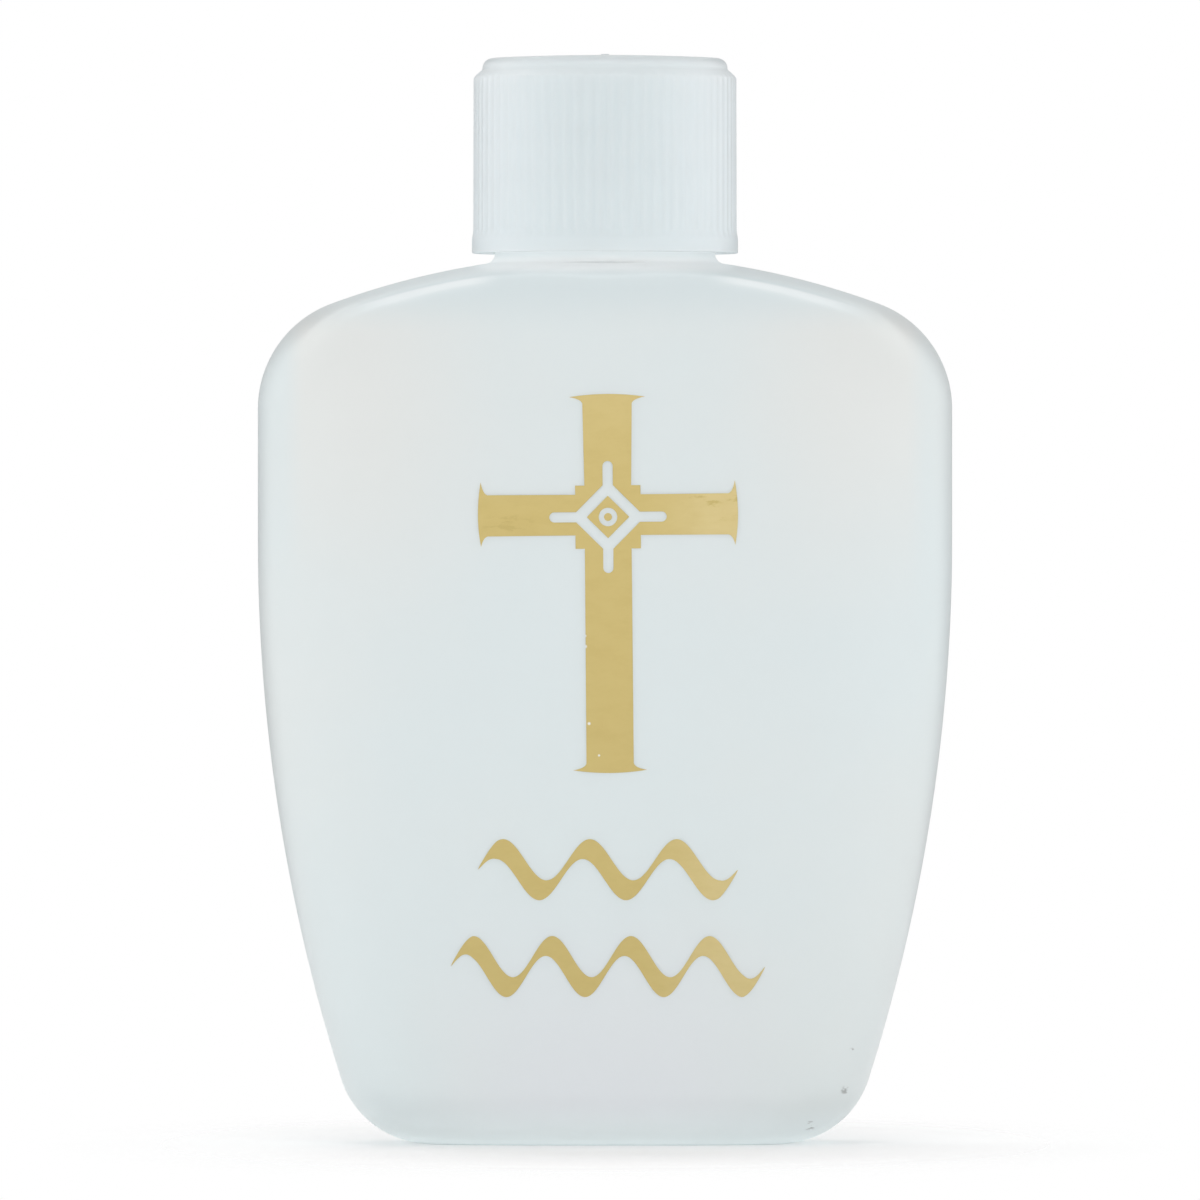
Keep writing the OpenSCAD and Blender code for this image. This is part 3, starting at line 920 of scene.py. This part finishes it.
class FLASK_OT_bottle(Operator):
    """Makes the bottle: its skin inside and out, the arched base, the mould seam and the threaded neck"""

    bl_idname = "flask.bottle"
    bl_label = "Bottle"

    def execute(self, context):
        body, neck, looks = context.scene.flask_body, context.scene.flask_neck, context.scene.flask_looks
        outline = FlaskOutline(body, neck)
        rings = self.outer_skin(body, outline)
        plain_count = len(rings)
        rings += [circle(r, z, BOTTLE_AROUND) for r, z in self.neck_profile(body, neck)]
        neck_count = len(rings) - plain_count
        rings += self.inner_skin(body, outline)
        top, close = neck.lip_z - neck.lip_edge, 0.01 * MM
        thread = [0.0] * len(rings)
        for k in range(plain_count, plain_count + neck_count):
            radius, z = np.hypot(*rings[k][0, :2]), rings[k][0, 2]
            thread[k] = float(abs(radius - neck.neck_r) < close and z < top)
        piece = shell("bottle_shell", rings, {"thread": thread})
        tints = looks.plastic, looks.plastic_thin, bottle_zones
        plastic = milky_plastic("milky_bottle_plastic", looks, *tints, soak=0.35, depth=1.2 * MM)
        add_thread(piece, neck, 0.0, neck.ridge_h, neck.ridge_w, plastic)
        finish_piece(piece, "bottle", ["bottle"])
        return {"FINISHED"}

    def arched_base(self, body, outline, lift):
        """Rings of the arched base from its middle to the standing rim."""
        rings = []
        for share in steps(0.06, 1.0, BASE_STEPS):
            z = lift + body.push_up * (1 - share**PUSH_POWER)
            a, b = (outline.foot_x - body.rim_w) * share, (outline.sole_y - body.rim_w) * share
            rings.append(oblong(z, a, b, body.foot_power))
        return rings

    def outer_skin(self, body, outline):
        """Rings of the outside up to the neck, with the mould's seam down both sides and across the base."""
        rings = self.arched_base(body, outline, 0.0)
        right, left = 0, BOTTLE_AROUND // 2
        for ring in rings[:-2]:
            ring[[right, left], 2] -= 3 * body.seam_h
        for z in outline.levels(0.0, OUTER_STEPS):
            ring = outline.ring(z, 0.0)
            ring[:, 0] *= 1 - body.seam_h / outline.half_width(z, 0.0)
            ring[right, 0] += body.seam_h
            ring[left, 0] -= body.seam_h
            rings.append(ring)
        return rings

    def inner_skin(self, body, outline):
        """Rings of the inside from the neck down."""
        t = body.wall
        rings = [outline.ring(z, t) for z in reversed(outline.levels(t, INNER_STEPS))]
        return rings + self.arched_base(body, outline, t)[::-1]

    def neck_profile(self, body, neck):
        """Radius and height up the outside of the neck, over the lip and down its bore."""
        collar_r = neck.neck_r + neck.collar_out
        top = body.shoulder_h + neck.collar_h
        edge = neck.lip_edge
        root = arc((collar_r + neck.root_r, body.shoulder_h + neck.root_r), neck.root_r, 270, 180)
        lip_out = arc((neck.neck_r - edge, neck.lip_z - edge), edge, 0, 90)
        lip_in = arc((neck.bore_r + edge, neck.lip_z - edge), edge, 90, 180)
        barrel = [(neck.neck_r, z) for z in steps(top, neck.lip_z - edge, BARREL_STEPS)]
        bore = [(neck.bore_r, z) for z in steps(neck.lip_z - 2 * edge, body.shoulder_h - body.wall, 10)]
        return root[1:] + [(collar_r, top - neck.collar_out)] + barrel[:-1] + lip_out + lip_in + bore


class FLASK_OT_cap(Operator):
    """Makes the screw cap: its plain band, grip ribs, smooth top with the gate, and the thread inside"""

    bl_idname = "flask.cap"
    bl_label = "Cap"

    def execute(self, context):
        cap, neck, looks = context.scene.flask_cap, context.scene.flask_neck, context.scene.flask_looks
        around = cap.rib_count * CAP_POINTS_A_RIB
        profile = self.inside(cap) + self.outside(cap)
        rings = [circle(r, z, around) for r, z, _, _ in profile]
        weights = {"rib": [row[2] for row in profile], "thread": [row[3] for row in profile]}
        piece = shell("screw_cap", rings, weights)
        tints = looks.cap, looks.cap_clouds_and_side_light, cap_zones
        plastic = milky_plastic("milky_cap_plastic", looks, *tints, soak=0.8, depth=1.2 * MM)
        ribs = {"Count": cap.rib_count, "Height": cap.rib_out, "Material": plastic}
        run_tree(piece, grip_ribs_tree(), ribs)
        add_thread(piece, neck, neck.pitch / 2, -cap.ridge_h, cap.ridge_w, plastic)
        # The thin milky cap lets light through to the neck and the shoulder
        piece.visible_shadow = piece.visible_diffuse = False
        finish_piece(piece, "cap", ["cap"])
        return {"FINISHED"}

    def bare(self, points):
        """Rows of radius, height, rib weight and thread weight, where there is no rib and no thread."""
        return [(r, z, 0, 0) for r, z in points]

    def inside(self, cap):
        """Rows from the middle of the roof down to the mouth."""
        roof, low = CAP_HIGH.z - cap.gate_h - cap.roof_t, CAP_LOW.z
        edge = 0.3 * MM
        rows = self.bare((r, roof) for r in (0.5 * MM, 3 * MM, 6 * MM, cap.bore_r - edge))
        rows += self.bare(arc((cap.bore_r - edge, roof - edge), edge, 90, 0)[1:])
        rows += [(cap.bore_r, z, 0, 1) for z in steps(roof - 2 * edge, low + 2 * edge, 60)]
        return rows + self.bare([(cap.bore_r, low + edge), (cap.bore_r + edge / 2, low)])

    def outside(self, cap):
        """Rows from the mouth up to the middle of the top."""
        low, top = CAP_LOW.z, CAP_HIGH.z - cap.gate_h
        edge = 0.12 * MM
        band_top = low + cap.band_h
        rib_top = top - cap.rib_drop
        thin = 1 - cap.rib_draft / cap.rib_out
        fade_below, ribs_begin = 0.4, 1.2 * MM
        bevel, bevel_power, fillet, soft = 0.65 * MM, 1.4, 0.05 * MM, 0.02 * MM
        step = cap.rib_foot_r - cap.crown_r - fillet
        rows = self.bare(arc((cap.band_r - edge, low + edge), edge, 270, 360, 4))
        for u in steps(0.0, 1.0, 8):
            share = u * u * (3 - 2 * u)
            r = cap.band_r + (cap.rib_foot_r - cap.band_r) * share
            rows.append((r, band_top + cap.fade_h * (u - fade_below), share, 0))
        for z in steps(band_top + ribs_begin, rib_top - bevel, 8):
            share = (z - band_top) / (rib_top - band_top)
            rows.append((cap.rib_foot_r, z, 1 + (thin - 1) * share, 0))
        for u in steps(0.0, 1.0, 5)[1:]:
            r = cap.rib_foot_r - step * u**bevel_power
            rows.append((r, rib_top - bevel * (1 - u), thin * (1 - u), 0))
        rim = top - cap.crown_rise
        crown = [(cap.crown_r + fillet, rib_top + 0.6 * fillet), (cap.crown_r, rib_top + 2 * fillet)]
        crown += arc((cap.crown_r - cap.crown_edge, rim - cap.crown_edge), cap.crown_edge, 0, 84)
        edge_r, edge_z = crown[-1]
        for r in steps(edge_r, 1.6 * cap.gate_r, 10)[1:]:
            crown.append((r, edge_z + (top - edge_z) * (1 - (r / edge_r) ** 2)))
        gate = [(cap.gate_r, top + soft), (0.8 * cap.gate_r, CAP_HIGH.z - soft)]
        return rows + self.bare(crown + gate + [(0.3 * cap.gate_r, CAP_HIGH.z)])


class FLASK_OT_liner(Operator):
    """Makes the foam liner in the roof of the cap, dented where it seals on the lip"""

    bl_idname = "flask.liner"
    bl_label = "Liner"

    def execute(self, context):
        neck, looks = context.scene.flask_neck, context.scene.flask_looks
        radius, low, high = LINER_HIGH.x, LINER_LOW.z, LINER_HIGH.z
        edge, middle = 0.15 * MM, 0.4 * MM
        dent, slope = 0.08 * MM, 0.5 * MM
        lip_in, lip_out = neck.bore_r + neck.lip_edge, neck.neck_r - neck.lip_edge
        below = [(middle, low), (lip_in - slope, low), (lip_in, low + dent), (lip_out, low + dent)]
        below += [(lip_out + slope, low), (radius - edge, low)]
        rim = arc((radius - edge, low + edge), edge, 270, 360, 4)[1:]
        rim += arc((radius - edge, high - edge), edge, 0, 90, 4)
        rows = below + rim + [(0.5 * radius, high), (middle, high)]
        piece = shell("foam_liner", [circle(r, z, LINER_AROUND) for r, z in rows], {})
        piece.data.materials.append(liner_foam(looks))
        finish_piece(piece, "liner", ["cap_liner"])
        return {"FINISHED"}


class FLASK_OT_print(Operator):
    """Makes the gold foil on the front face: the cross with its pierced lozenge, and two waves under it"""

    bl_idname = "flask.print"
    bl_label = "Gold print"

    def execute(self, context):
        sizes, looks = context.scene.flask_print, context.scene.flask_looks
        outline = FlaskOutline(context.scene.flask_body, context.scene.flask_neck)
        foil = stamped_foil(looks)
        cross = [cross_outline(sizes), pierced_lozenge(sizes), disc(sizes.core, 4)]
        cross += [disc(sizes.ring_r), disc(sizes.dot_r)]
        cross = [tilted(loop, sizes.tilt) for loop in cross]
        pieces = {"foil_cross": (cross, (sizes.centre_x, sizes.centre_z))}
        for name, (width, crests, height) in WAVES.items():
            pieces[name] = ([wave(width, crests, sizes)], (sizes.centre_x, height))
        for name, (loops, centre) in pieces.items():
            piece = foil_piece(name, loops, centre, outline, sizes.foil_t)
            piece.data.materials.append(foil)
            finish_piece(piece, "bottle")
        return {"FINISHED"}


class FLASK_OT_stage(Operator):
    """Makes the pale floor, the soft lamps, the white surround and the camera"""

    bl_idname = "flask.stage"
    bl_label = "Stage"

    def execute(self, context):
        scene = context.scene
        scene.view_settings.view_transform = "Standard"
        self.floor(scene)
        for name, values in LAMPS.items():
            self.lamp(name, *values)
        self.surround(scene)
        self.camera(scene)
        return {"FINISHED"}

    def floor(self, scene):
        """A round floor that fades into the surround, for the eye sooner than for the light."""
        rim = circle(0.7, 0.0, FLOOR_AROUND)
        floor = new_object("floor", new_mesh("floor", rim, [list(range(FLOOR_AROUND))]))
        floor.data.materials.append(self.pale_floor(scene))

    def pale_floor(self, scene):
        """A matt white that fades out, and that glows along the rim under the bottle to light its base from
        below.
        """
        material, wiring, shader, place = new_surface("pale_floor")
        rays = wiring.node("ShaderNodeLightPath").outputs
        far = wiring.vector("LENGTH", place)
        beside = wiring.vector("LENGTH", wiring.vector("MULTIPLY", place, (2.2, 1.0, 0.0)))
        wide, near = wiring.span(far, 50, 450, 1.0, 0.0), wiring.span(beside, 22, 100, 1.0, 0.0)
        seen = wiring.times(rays["Is Camera Ray"], wiring.span(beside, 10, 80, 0.05, 0.13))
        # The floor glows for diffuse rays along the rim that the bottle stands on, to light the base from
        # below
        body = scene.flask_body
        outline = FlaskOutline(body, scene.flask_neck)
        to_rim = wiring.vector("MULTIPLY", place, (1 / outline.foot_x, 1 / outline.sole_y, 0.0))
        ways = [wiring.math("ABSOLUTE", way) for way in wiring.split(to_rim)[:2]]
        past_rim = wiring.math("ADD", *(wiring.math("POWER", way, body.foot_power) for way in ways))
        rim_glow = wiring.times(rays["Is Diffuse Ray"], wiring.ramp(past_rim, 1.7, 3.0, 0.29, 0.0))
        feeds = {
            "Base Color": (0.95, 0.95, 0.95),
            "Roughness": 0.9,
            "Alpha": wiring.node("ShaderNodeMix", {0: rays["Is Camera Ray"], 2: wide, 3: near}).outputs[0],
            "Emission Color": (1.0, 1.0, 1.0),
            "Emission Strength": wiring.math("ADD", rim_glow, seen),
        }
        wiring.feed(shader, feeds)
        material.cycles.emission_sampling = "NONE"
        return material

    def lamp(self, name, place, size, power):
        """A soft lamp of some width and height that looks at the middle of the bottle."""
        light = bpy.data.lights.new(name, "AREA")
        light.shape = "RECTANGLE"
        light.size, light.size_y = size
        light.energy = power
        lamp = new_object(name, light)
        lamp.location = place
        middle = Vector((0.0, 0.0, 40 * MM))
        lamp.rotation_euler = (middle - lamp.location).to_track_quat("-Z", "Y").to_euler()
        lamp.visible_camera = False
        lamp.visible_glossy = name in MIRRORED_LAMPS

    def surround(self, scene):
        """A white surround where it is seen, a softer one as light, and mirrored greyer towards the back."""
        world = bpy.data.worlds.new("surround")
        scene.world = world
        world.use_nodes = True
        wiring = Wiring(world.node_tree)
        rays = wiring.node("ShaderNodeLightPath").outputs
        side, back, high = wiring.split(wiring.node("ShaderNodeTexCoord").outputs["Generated"])
        above = wiring.math("SUBTRACT", high, wiring.math("ABSOLUTE", side))
        behind = wiring.times(wiring.ramp(back, 0.35, 0.85), wiring.ramp(above, 0.05, 0.3, 1.45, 0.2))
        mirrored = wiring.times(rays["Is Glossy Ray"], wiring.math("SUBTRACT", 1.0, behind))
        seen = wiring.math("MAXIMUM", rays["Is Camera Ray"], rays["Is Transmission Ray"])
        white, soft = 1.0, 0.46
        strength = wiring.math("MULTIPLY_ADD", wiring.math("ADD", seen, mirrored), white - soft, soft)
        wiring.feed(world.node_tree.nodes["Background"], {"Color": (1.0, 1.0, 1.0), "Strength": strength})

    def camera(self, scene):
        """A long lens square to the front face, framed as a picture of 1200 by 1200 points."""
        picture, point = 1200, 0.0759 * MM
        aim_x, aim_z, distance = -0.38 * MM, 41.2 * MM, 1.5
        data = bpy.data.cameras.new("camera")
        data.sensor_width = 36.0
        data.lens = data.sensor_width * distance / (picture * point)
        scene.camera = new_object("camera", data)
        scene.camera.location = (aim_x, -distance, aim_z)
        scene.camera.rotation_euler = (math.pi / 2, 0.0, 0.0)


class FLASK_PT_panel(Panel):
    """Lists the flask's pieces, sizes and colours"""

    bl_label = "Holy Water Flask"
    bl_idname = "FLASK_PT_panel"
    bl_space_type = "VIEW_3D"
    bl_region_type = "UI"
    bl_category = "Flask"

    def draw(self, context):
        for step in STEPS:
            self.layout.operator(step.bl_idname)
        for name in GROUPS:
            group = getattr(context.scene, name)
            box = self.layout.box()
            box.label(text=group.bl_rna.description)
            for prop in group.bl_rna.properties:
                if prop.identifier not in {"rna_type", "name"}:
                    box.prop(group, prop.identifier)


GROUPS = {
    "flask_body": FlaskBody,
    "flask_neck": FlaskNeck,
    "flask_cap": FlaskCap,
    "flask_print": FlaskPrint,
    "flask_looks": FlaskLooks,
}
STEPS = (FLASK_OT_bottle, FLASK_OT_cap, FLASK_OT_liner, FLASK_OT_print, FLASK_OT_stage)
CLASSES = (*GROUPS.values(), *STEPS, FLASK_PT_panel)


def register():
    for cls in CLASSES:
        bpy.utils.register_class(cls)
    for name, group in GROUPS.items():
        setattr(bpy.types.Scene, name, PointerProperty(type=group))


def unregister():
    for name in GROUPS:
        delattr(bpy.types.Scene, name)
    for cls in reversed(CLASSES):
        bpy.utils.unregister_class(cls)


def main():
    register()
    bpy.ops.flask.bottle()
    bpy.ops.flask.cap()
    bpy.ops.flask.liner()
    bpy.ops.flask.print()
    bpy.ops.flask.stage()


if __name__ == "__main__":
    main()
